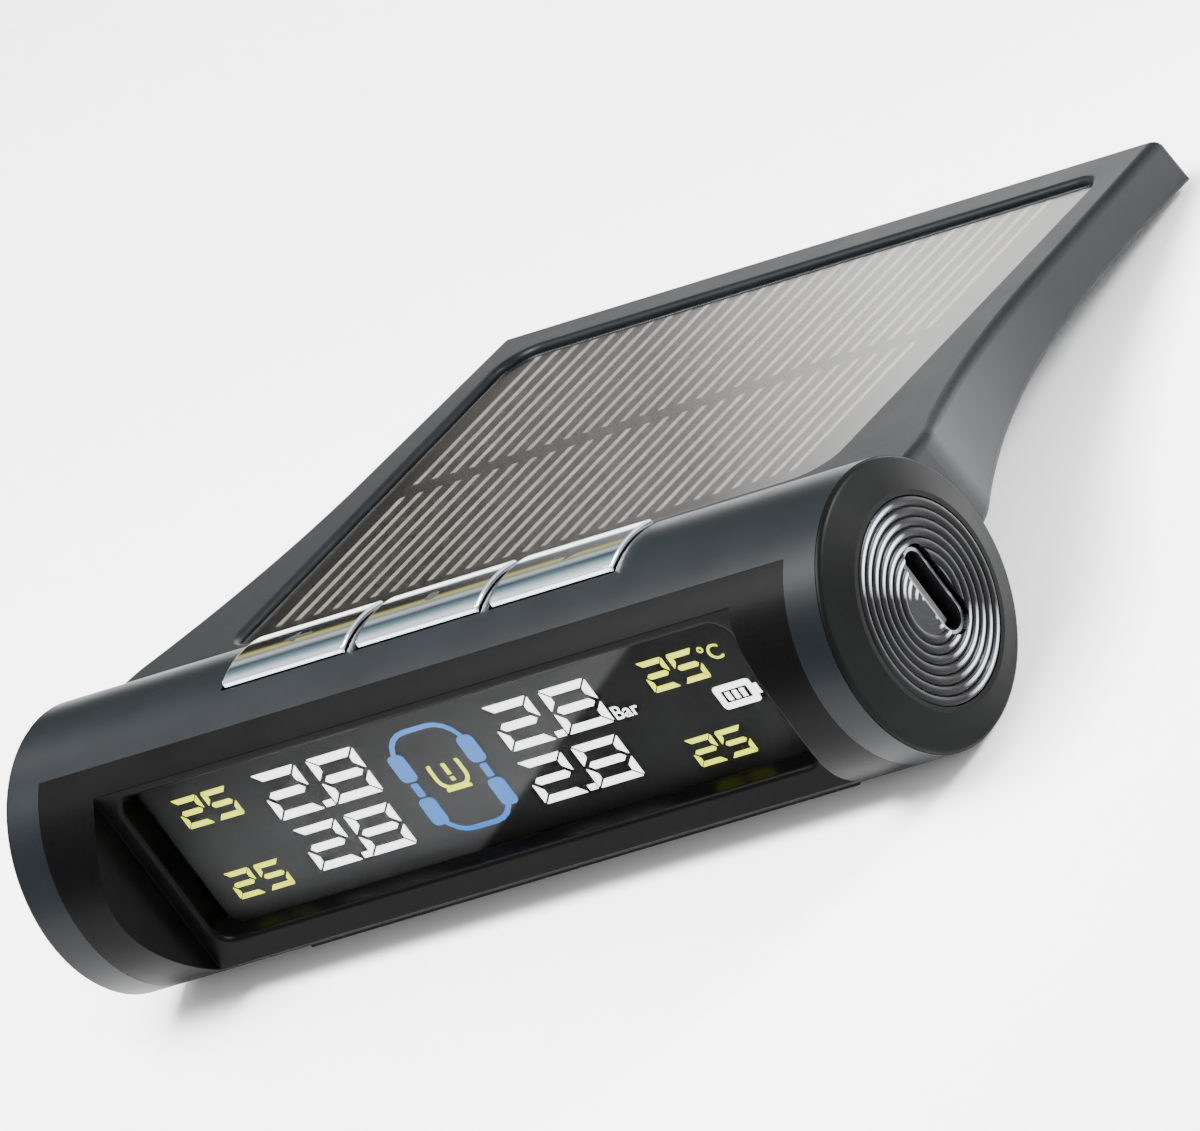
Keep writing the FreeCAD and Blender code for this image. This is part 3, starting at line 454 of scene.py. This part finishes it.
# the lens has a far lower index than real acrylic, so that it hardly mirrors the floor
clearSheets = {
    "lens": ("acrylicLens", {"colour": "#F4F5F6", "ior": 1.04, "glare": "#303030", "marks": 3,
                             "rough": (0.0, 0.02)}),
    "cover": ("laminateCover", {"colour": "#F6F4F1", "ior": 1.5, "glare": "#B0B0B0", "marks": 6,
                                "rough": (0.03, 0.06)}),
}
litSegments = {
    "yellow": ("litSegmentYellow", "#F4FF00", 2.6),
    "white": ("litSegmentWhite", "#FFFFFF", 4.0),
    "blue": ("litSegmentBlue", "#0090FF", 1.1),
}
for key, sheet in clearSheets.items():
    finish[key] = clearFinish(*sheet)
for key, segment in litSegments.items():
    finish[key] = litFinish(*segment)
print("materials ready")

# the carried-over nodes and their finishes
nodeFinish = {
    "housing_shell": "housing", "bottom_cover": "housing", "front_fascia": "fascia",
    "display_lens": "lens", "lcd_panel": "crystal", "backlight_block": "diffuser", "lcd_pin_strip": "contact",
    "main_board": "board", "key_board": "board", "battery_foam": "foam", "solar_tape": "foam",
    "battery_cell": "pouch", "radio_shield": "nickel", "aerial_coil": "copper", "buzzer": "nylon",
    "usb_port_shell": "nickel", "usb_port_tongue": "nylon", "end_cap_right": "cap", "end_cap_left": "cap",
    "ring_disc_right": "turned", "ring_disc_left": "turned", "solar_panel": "silicon", "solar_cover": "cover",
    "cover_screws": "zinc", "board_screws": "zinc", "front_foot_pad": "rubber", "rear_foot_pad": "rubber",
}
for word in ("back", "set", "next"):
    nodeFinish["key_" + word] = "chrome"
    nodeFinish["key_switch_" + word] = "nylon"
    nodeFinish["key_plunger_" + word] = "nylon"
for node, key in nodeFinish.items():
    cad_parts[node].material_slots[0].material = finish[key]
print("nodes dressed")

# modelled pieces
def giveTo(piece, body, slotName, *nodes):
    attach(piece, body)
    if nodes:
        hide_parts(*nodes)


def copyOf(piece, name, scale=(1, 1, 1), move=(0, 0, 0)):
    # a copy with its own mesh: scaled, then moved
    deselect()
    other = piece.copy()
    other.data = piece.data.copy()
    other.name = name
    bpy.context.collection.objects.link(other)
    other.scale = scale
    other.location = move
    settle(other)
    return other


def discard(*parts):
    for part in parts:
        bpy.data.objects.remove(part)


sameSpot = 1e-7   # metres


def upright(edgeStart, edgeEnd):
    # an edge that runs along Y, through a flat piece that faces the front
    return abs(edgeStart.x - edgeEnd.x) < sameSpot and abs(edgeStart.z - edgeEnd.z) < sameSpot


# the display's segments are drawn on a unit digit, one wide and one tall, then copied to size
segmentLook = {"stroke": 0.165, "gap": 0.04, "thick": 0.03, "mitre": 0.93, "point": 0.49, "inset": 0.6}


def barSegment(name, x0, z0, x1, z1, side):
    # a bar with its ends mitred towards the digit's inside, or pointed for the middle bar
    stroke = segmentLook["stroke"]
    piece = slab(name, (x0, 0, z0), (x1, 1, z1))
    middle = Vector(((x0 + x1) / 2, 0, (z0 + z1) / 2))

    def inward(start, end):
        if not upright(start, end):
            return False
        offset = start - middle
        return {"left": offset.x > 0, "right": offset.x < 0, "top": offset.z < 0, "foot": offset.z > 0,
                "middle": True}[side]

    roundEdges(piece, stroke * segmentLook["point" if side == "middle" else "mitre"], inward, 1)
    return piece


def digit(figure):
    stroke, gap = segmentLook["stroke"], segmentLook["gap"]
    half, inset = 0.5, stroke * segmentLook["inset"]
    spans = {
        "a": (gap, 1 - stroke, 1 - gap, 1, "top"), "d": (gap, 0, 1 - gap, stroke, "foot"),
        "g": (inset, half - stroke / 2, 1 - inset, half + stroke / 2, "middle"),
        "f": (0, half + gap, stroke, 1 - gap, "left"), "e": (0, gap, stroke, half - gap, "left"),
        "b": (1 - stroke, half + gap, 1, 1 - gap, "right"), "c": (1 - stroke, gap, 1, half - gap, "right"),
    }
    lit = {"2": "abged", "5": "afgcd", "8": "abcdefg"}[figure]
    return joinAll("digit" + figure, [barSegment("segment", *spans[key][:4], spans[key][4]) for key in lit])


def makeGraphics():
    # readings in millimetres from the visible glass's upper left corner, right and down
    panel = {"left": -33.15, "top": 7.4, "front": -4.94, "shift": (-0.97, -0.62)}
    white = [("2", 11.1, 1.2, 5.0, 5.1), ("8", 17.4, 1.2, 5.3, 5.1), ("2", 11.3, 7.5, 4.8, 4.7),
             ("8", 17.1, 7.5, 5.1, 4.7), ("2", 37.3, 1.3, 5.1, 5.0), ("8", 43.7, 1.3, 5.2, 5.0),
             ("2", 36.8, 7.5, 4.9, 4.7), ("8", 42.9, 7.5, 5.1, 4.7)]
    yellow = [("2", 1.95, 1.3, 2.85, 3.2), ("5", 5.35, 1.3, 2.85, 3.2), ("2", 1.8, 9.7, 2.8, 2.9),
              ("5", 5.2, 9.7, 2.8, 2.9), ("2", 54.6, 1.5, 2.85, 3.3), ("5", 58.0, 1.5, 2.85, 3.3),
              ("2", 53.8, 10.1, 2.9, 3.0), ("5", 57.2, 10.1, 2.9, 3.0)]
    dots = [(16.25, 5.6, 0.95, 0.65), (16.25, 11.55, 0.9, 0.6), (42.55, 5.6, 0.95, 0.65),
            (41.85, 11.55, 0.9, 0.6)]
    masters = {figure: digit(figure) for figure in "258"}
    thick = segmentLook["thick"] * mm

    def spot(x, down):
        return (panel["left"] + panel["shift"][0] + x) * mm, (panel["top"] + panel["shift"][1] - down) * mm

    def row(name, entries):
        parts = []
        for figure, x, down, wide, tall in entries:
            px, pz = spot(x, down + tall)
            part = copyOf(masters[figure], name, (wide * mm, thick, tall * mm), (px, 0, pz))
            parts.append(part)
        return parts

    def patch(name, x, down, wide, tall, corner=0.0):
        px, pz = spot(x, down + tall)
        piece = slab(name, (px, 0, pz), (px + wide * mm, thick, pz + tall * mm))
        if corner:
            roundEdges(piece, corner * mm, upright, 5)
        return piece

    def hollow(name, x, down, wide, tall, line, corner):
        outer = patch(name, x, down, wide, tall, corner)
        inner = patch(name + "Tool", x + line, down + line, wide - 2 * line, tall - 2 * line,
                      max(corner - line, 0.1))
        inner.scale = (1, 3, 1)
        inner.location = (0, -thick, 0)
        settle(inner)
        cutOut(outer, inner)
        return outer

    def openFrame(name, x, down, wide, tall, line, corner, openFrom, openTo):
        # a rounded frame with one side taken off between two levels
        piece = hollow(name, x, down, wide, tall, line, corner)
        px, pz = spot(x - 1, openTo)
        cutOut(piece, slab("tool", (px, -thick, pz), (px + (wide + 2) * mm, 2 * thick,
                                                     pz + (openTo - openFrom) * mm)))
        return piece

    def words(name, text, x, down, size):
        px, pz = spot(x, down)
        deselect()
        bpy.ops.object.text_add(location=(px, thick, pz), rotation=(math.pi / 2, 0, 0))
        piece = bpy.context.object
        piece.data.body = text
        piece.data.size = size * mm
        piece.data.extrude = thick / 2
        piece.data.offset = 0.01 * mm
        bpy.ops.object.convert(target="MESH")
        piece.name = name
        settle(piece)
        return piece

    whites = row("white", white) + [patch("point", *dot) for dot in dots]
    # the battery sign: a case with a nub, three bars in it
    whites += [hollow("cell", 59.9, 5.9, 4.1, 2.5, 0.62, 0.4), patch("nub", 64.05, 6.6, 0.4, 1.1)]
    whites += [patch("bar", 60.85 + 0.8 * i, 6.7, 0.5, 0.9) for i in range(3)]
    whites.append(words("unit", "Bar", 49.1, 6.25, 2.0))
    yellows = row("yellow", yellow) + [words("degree", "°C", 61.1, 3.3, 2.2)]
    # the warning sign: an open tyre section on a tread, with a mark in it
    yellows += [patch("tread", 28.6, 8.0, 2.7, 0.3), patch("mark", 29.75, 5.4, 0.4, 1.2),
                patch("markDot", 29.75, 6.9, 0.4, 0.4),
                openFrame("tyreWall", 28.15, 4.4, 3.6, 3.7, 0.35, 1.3, 4.3, 5.3)]
    blues = [patch("tyre", x, down, 1.8, 3.0, 0.6) for x in (25.0, 32.8) for down in (3.3, 8.2)]
    blues += [patch("link", x, 6.5, 0.8, 1.5, 0.2) for x in (25.5, 33.3)]
    # bonnet and boot
    blues += [openFrame("bonnet", 25.65, 1.1, 8.3, 6.0, 0.5, 2.9, 3.4, 7.5),
              openFrame("boot", 25.65, 6.6, 8.3, 6.0, 0.5, 2.9, 6.0, 11.1)]
    discard(*masters.values())
    for name, parts, key in (("digits_white", whites, "white"), ("digits_yellow", yellows, "yellow"),
                             ("car_outline", blues, "blue")):
        piece = joinAll(name, parts)
        piece.location = (0, panel["front"] * mm, 0)
        moveInto(piece, "face")
        dress(piece, finish[key])
        giveTo(piece, "housing", "lcd")
    print("display graphics made")


def makeSolar():
    # printed fingers in two banks on the cell, under a clear sheet lifted just clear of them
    grid = {"count": 28, "pitch": 2.16, "wide": 0.65, "first": 2.8, "thick": 0.015, "lift": 0.03,
            "backMargin": 0.7, "backLong": 22.8, "gap": 2.4, "frontLong": 22.6, "sink": 0.001,
            "sheetEdge": 0.15}
    low, high = localBox("solar_panel", "slope")
    start = high.y - grid["backMargin"] * mm
    banks = [(start - grid["backLong"] * mm, start),
             (start - (grid["backLong"] + grid["gap"] + grid["frontLong"]) * mm,
              start - (grid["backLong"] + grid["gap"]) * mm)]
    fingers = []
    for y0, y1 in banks:
        x = low.x + grid["first"] * mm
        first = slab("finger", (x, y0, high.z - grid["sink"] * mm),
                     (x + grid["wide"] * mm, y1, high.z + grid["thick"] * mm))
        fingers.append(first)
        for i in range(1, grid["count"]):
            fingers.append(copyOf(first, "finger", move=(grid["pitch"] * i * mm, 0, 0)))
    bank = joinAll("solar_fingers", fingers)
    moveInto(bank, "slope")
    dress(bank, finish["silver"])
    giveTo(bank, "housing", "solar_cells")
    low, high = localBox("solar_cover", "slope")
    sheet = slab("solar_sheet", (low.x, low.y, low.z + grid["lift"] * mm), high)
    useModifier(sheet, "BEVEL", width=grid["sheetEdge"] * mm, segments=3, limit_method="ANGLE")
    evenShade(sheet)
    moveInto(sheet, "slope")
    dress(sheet, finish["cover"])
    giveTo(sheet, "housing", "solar_cover", "solar_cover")
    print("solar cell printed")


def makeFascia():
    # the moulded front, every edge softened
    front = {"edge": 0.4, "segments": 4}
    piece = fromNode("front_fascia", "fascia_front", front["edge"], front["segments"])
    dress(piece, finish["fascia"])
    giveTo(piece, "housing", "fascia", "front_fascia")
    print("fascia softened")


def plateMark(x, top, wide, tall, corner):
    # a rounded block that reaches through the key's top, to be trimmed to it
    piece = slab("mark", (x - wide / 2 * mm, -tall / 2 * mm, top - 0.3 * mm),
                 (x + wide / 2 * mm, tall / 2 * mm, top + mm))
    roundEdges(piece, corner * mm, lambda a, b: abs(a.x - b.x) < sameSpot and abs(a.y - b.y) < sameSpot, 4)
    return piece


def makeKeys():
    # chromed keys with bevelled borders and small printed marks
    cap = {"edge": 0.45, "segments": 4, "mark": 0.02, "sides": 256, "dot": (1.3, 1.3, 0.5),
           "shaft": (1.6, 0.4, 0.1), "shaftBack": 0.7, "tip": 1.0, "tipAhead": 0.6, "tipTall": 2}
    for word, shape in (("back", "left"), ("set", "dot"), ("next", "right")):
        node = "key_" + word
        piece = fromNode(node, node + "_cap", cap["edge"], cap["segments"])
        dress(piece, finish["chrome"])
        giveTo(piece, node + "_body", "key_chrome", node)
        low, high = localBox(node, "keys")
        x = (low.x + high.x) / 2
        top = high.z
        parts = []
        if shape == "dot":
            parts.append(plateMark(x, top, *cap["dot"]))
        else:
            side = -1 if shape == "left" else 1
            parts.append(plateMark(x - side * cap["shaftBack"] * mm, top, *cap["shaft"]))
            deselect()
            bpy.ops.mesh.primitive_cylinder_add(vertices=3, radius=cap["tip"] * mm, depth=cap["tipTall"] * mm,
                                                location=(x + side * cap["tipAhead"] * mm, 0, top),
                                                rotation=(0, 0, -side * math.pi / 2))
            parts.append(bpy.context.object)
            settle(parts[-1])
        mark = joinAll(node + "_mark", parts)
        shell = rod("shell", high.z + cap["mark"] * mm, low.x, high.x, cap["sides"])
        cutOut(mark, shell, "INTERSECT")
        moveInto(mark, "keys")
        dress(mark, finish["nylon"])
        giveTo(mark, node + "_body", "black_plastic")
    print("keys made")


def makePort():
    # gold pads on the tongue of the charging port
    pads = {"count": 6, "wide": 0.45, "pitch": 0.95, "thick": 0.03, "sink": 0.005, "root": 2, "mouth": 0.4}
    low, high = localBox("usb_port_tongue", "face")
    parts = []
    for y in (low.y, high.y):
        outward = -1 if y == low.y else 1
        for i in range(pads["count"]):
            z = (i - (pads["count"] - 1) / 2) * pads["pitch"] * mm
            edge = sorted((y - outward * pads["sink"] * mm, y + outward * pads["thick"] * mm))
            parts.append(slab("pad", (low.x + pads["root"] * mm, edge[0], z - pads["wide"] / 2 * mm),
                              (high.x - pads["mouth"] * mm, edge[1], z + pads["wide"] / 2 * mm)))
    piece = joinAll("port_pads", parts)
    moveInto(piece, "face")
    dress(piece, finish["gold"])
    giveTo(piece, "housing", "contact")
    print("port pads made")


def makeScrews():
    # the four cover screws, with a cross driven into each head
    cross = {"long": 1.5, "wide": 0.38, "deep": 0.6, "edge": 0.08, "segments": 2, "rowSplit": 20,
             "headTall": 0.4}
    piece = fromNode("cover_screws", "screws_bottom", cross["edge"], cross["segments"])
    corners = {}
    for vertex in piece.data.vertices:
        key = (vertex.co.x > 0, vertex.co.y > axisY + tubeRadius + cross["rowSplit"] * mm)
        corners.setdefault(key, []).append(vertex.co.copy())
    for spots in corners.values():
        x = (min(v.x for v in spots) + max(v.x for v in spots)) / 2
        foot = min(v.z for v in spots)
        near = [v for v in spots if v.z < foot + cross["headTall"] * mm]
        y = (min(v.y for v in near) + max(v.y for v in near)) / 2
        for long, wide in ((cross["long"], cross["wide"]), (cross["wide"], cross["long"])):
            tool = slab("tool", (x - long / 2 * mm, y - wide / 2 * mm, foot - mm),
                        (x + long / 2 * mm, y + wide / 2 * mm, foot + cross["deep"] * mm))
            cutOut(piece, tool)
    smooth(piece)
    dress(piece, finish["zinc"])
    giveTo(piece, "housing", "screw", "cover_screws")
    print("screws made")


makeGraphics()
makeSolar()
makeFascia()
makeKeys()
makePort()
makeScrews()

# the stage
def makeStage():
    look = {"floor": 3.0, "drop": 0.02, "grain": 400, "rough": 0.9, "dark": "#FAFAFA", "light": "#FFFFFF",
            "sky": "#FFFFFF", "skyStrength": 1.5}
    deselect()
    bpy.ops.mesh.primitive_plane_add(size=look["floor"], location=(0, 0, -look["drop"] * mm))
    floor = bpy.context.object
    floor.name = "floor"
    settle(floor)
    material, tree, shader, place = startMaterial("paperWhite", {"Roughness": look["rough"]})
    grain = addNode(tree, "ShaderNodeTexNoise", {"Scale": look["grain"]}, {"Vector": (place, "Object")})
    tint = addNode(tree, "ShaderNodeValToRGB", None, {"Fac": (grain, "Fac")})
    tint.color_ramp.elements[0].color = linear(look["dark"])
    tint.color_ramp.elements[1].color = linear(look["light"])
    tree.links.new(tint.outputs["Color"], shader.inputs["Base Color"])
    dress(floor, material)
    world = bpy.data.worlds.new("studio")
    bpy.context.scene.world = world
    world.use_nodes = True
    sky = world.node_tree.nodes["Background"]
    sky.inputs["Color"].default_value = linear(look["sky"])
    sky.inputs["Strength"].default_value = look["skyStrength"]


def makeReflector():
    # a glowing coloured card behind the object, unseen by the camera, for its shiny tops to mirror:
    # dark to light along its foot, coloured bands above
    sheet = {"away": (-0.62, 0.782, 0), "distance": 330, "wide": 260, "tall": 420,
             "along": ((0.38, "#020202"), (0.5, "#262626"), (0.6, "#707070"), (0.69, "#F0F0F0")),
             "upward": ((0.19, "#B0A45C"), (0.22, "#B0A45C"), (0.26, "#3F5E62"), (0.3, "#B8BABC"),
                        (0.36, "#10162C"), (0.43, "#5A7478"), (0.54, "#D8DADC")),
             "change": 0.19, "blend": 0.02, "strength": 2.4}
    away = Vector(sheet["away"]).normalized()
    deselect()
    bpy.ops.mesh.primitive_plane_add(size=1)
    piece = bpy.context.object
    piece.name = "reflector"
    across = Vector((away.y, -away.x, 0))
    tall, wide = sheet["tall"] * mm, sheet["wide"] * mm
    centre = Vector((0, axisY, 0)) + away * sheet["distance"] * mm + Vector((0, 0, tall / 2))
    turned = Matrix((across * wide, Vector((0, 0, tall)), -away)).transposed().to_4x4()
    piece.matrix_world = Matrix.Translation(centre) @ turned
    settle(piece)
    material, tree, shader, place = startMaterial("printedCard", {
        "Base Color": linear("#000000"), "Specular IOR Level": 0.0, "Emission Strength": sheet["strength"]})
    spot = addNode(tree, "ShaderNodeVectorMath", {"operation": "SUBTRACT"}, {0: (place, "Object")})
    spot.inputs[1].default_value = centre - across * wide / 2 - Vector((0, 0, tall / 2))
    along = addNode(tree, "ShaderNodeVectorMath", {"operation": "DOT_PRODUCT"}, {0: (spot, "Vector")})
    along.inputs[1].default_value = across / wide
    upward = addNode(tree, "ShaderNodeVectorMath", {"operation": "DOT_PRODUCT"}, {0: (spot, "Vector")})
    upward.inputs[1].default_value = Vector((0, 0, 1 / tall))
    ramps = {}
    for key, source in (("along", along), ("upward", upward)):
        ramp = addNode(tree, "ShaderNodeValToRGB", None, {"Fac": (source, "Value")})
        stops = ramp.color_ramp.elements
        for i, (position, colour) in enumerate(sheet[key]):
            stop = stops[i] if i < 2 else stops.new(position)
            stop.position = position
            stop.color = linear(colour)
        ramps[key] = ramp
    pick = addNode(tree, "ShaderNodeMapRange", {"From Min": sheet["change"] - sheet["blend"],
                   "From Max": sheet["change"] + sheet["blend"]}, {"Value": (upward, "Value")})
    both = addNode(tree, "ShaderNodeMix", {"data_type": "RGBA"}, {"Factor": (pick, "Result")})
    tree.links.new(ramps["along"].outputs["Color"], both.inputs[6])
    tree.links.new(ramps["upward"].outputs["Color"], both.inputs[7])
    tree.links.new(both.outputs[2], shader.inputs["Emission Color"])
    dress(piece, material)
    piece.visible_camera = False


def addCard(name, aim, towards, distance, size, power):
    # a soft light card that faces the aim point
    direction = Vector(towards).normalized()
    data = bpy.data.lights.new(name, "AREA")
    data.shape = "RECTANGLE"
    data.size, data.size_y = size
    data.energy = power
    card = bpy.data.objects.new(name, data)
    bpy.context.collection.objects.link(card)
    card.location = Vector(aim) + direction * distance
    card.rotation_mode = "QUATERNION"
    card.rotation_quaternion = direction.to_track_quat("Z", "Y")
    card.visible_camera = False
    return card


def makeCamera():
    view = {"towards": (0.62, -0.651, 0.437), "right": (0.7505, 0.3314, -0.5709), "width": 101.2,
            "across": -26.61, "up": 3.33, "lens": 1300, "near": 0.5, "far": 3}
    back = Vector(view["towards"]).normalized()
    right = Vector(view["right"])
    right = (right - back * right.dot(back)).normalized()
    up = back.cross(right)
    capEdge = Vector((tubeReach, axisY, axisZ))
    aim = capEdge + (right * view["across"] + up * view["up"]) * mm
    data = bpy.data.cameras.new("camera")
    camera = bpy.data.objects.new("camera", data)
    bpy.context.collection.objects.link(camera)
    data.lens = view["lens"]
    distance = view["width"] * mm * data.lens / data.sensor_width
    camera.matrix_world = Matrix.Translation(aim + back * distance) @ Matrix(
        (right, up, back)).transposed().to_4x4()
    data.clip_start = distance * view["near"]
    data.clip_end = distance * view["far"]
    bpy.context.scene.camera = camera


makeStage()
makeReflector()
makeCamera()
middle = (cadLow + cadHigh) / 2
# each card: what it aims at, which way it stands from there, how far off, its size and its power
cards = {
    "keyLight": (middle, (-0.2, -0.3, 1), 0.45, (0.35, 0.2), 11.0),
    "ringLight": (capHigh, (0.67, 0.53, 0.36), 0.4, (0.15, 0.15), 0.25),
    "rimLight": (middle, (-0.8, 0.5, 0.5), 0.5, (0.2, 0.2), 1.5),
    "sideLight": (middle, (1, -0.1, 0.3), 0.5, (0.15, 0.3), 1.0),
}
ringSpread = 25   # degrees, so that it lights the right cap alone
for name, card in cards.items():
    light = addCard(name, *card)
    if name == "ringLight":
        light.data.spread = math.radians(ringSpread)
print("stage set")
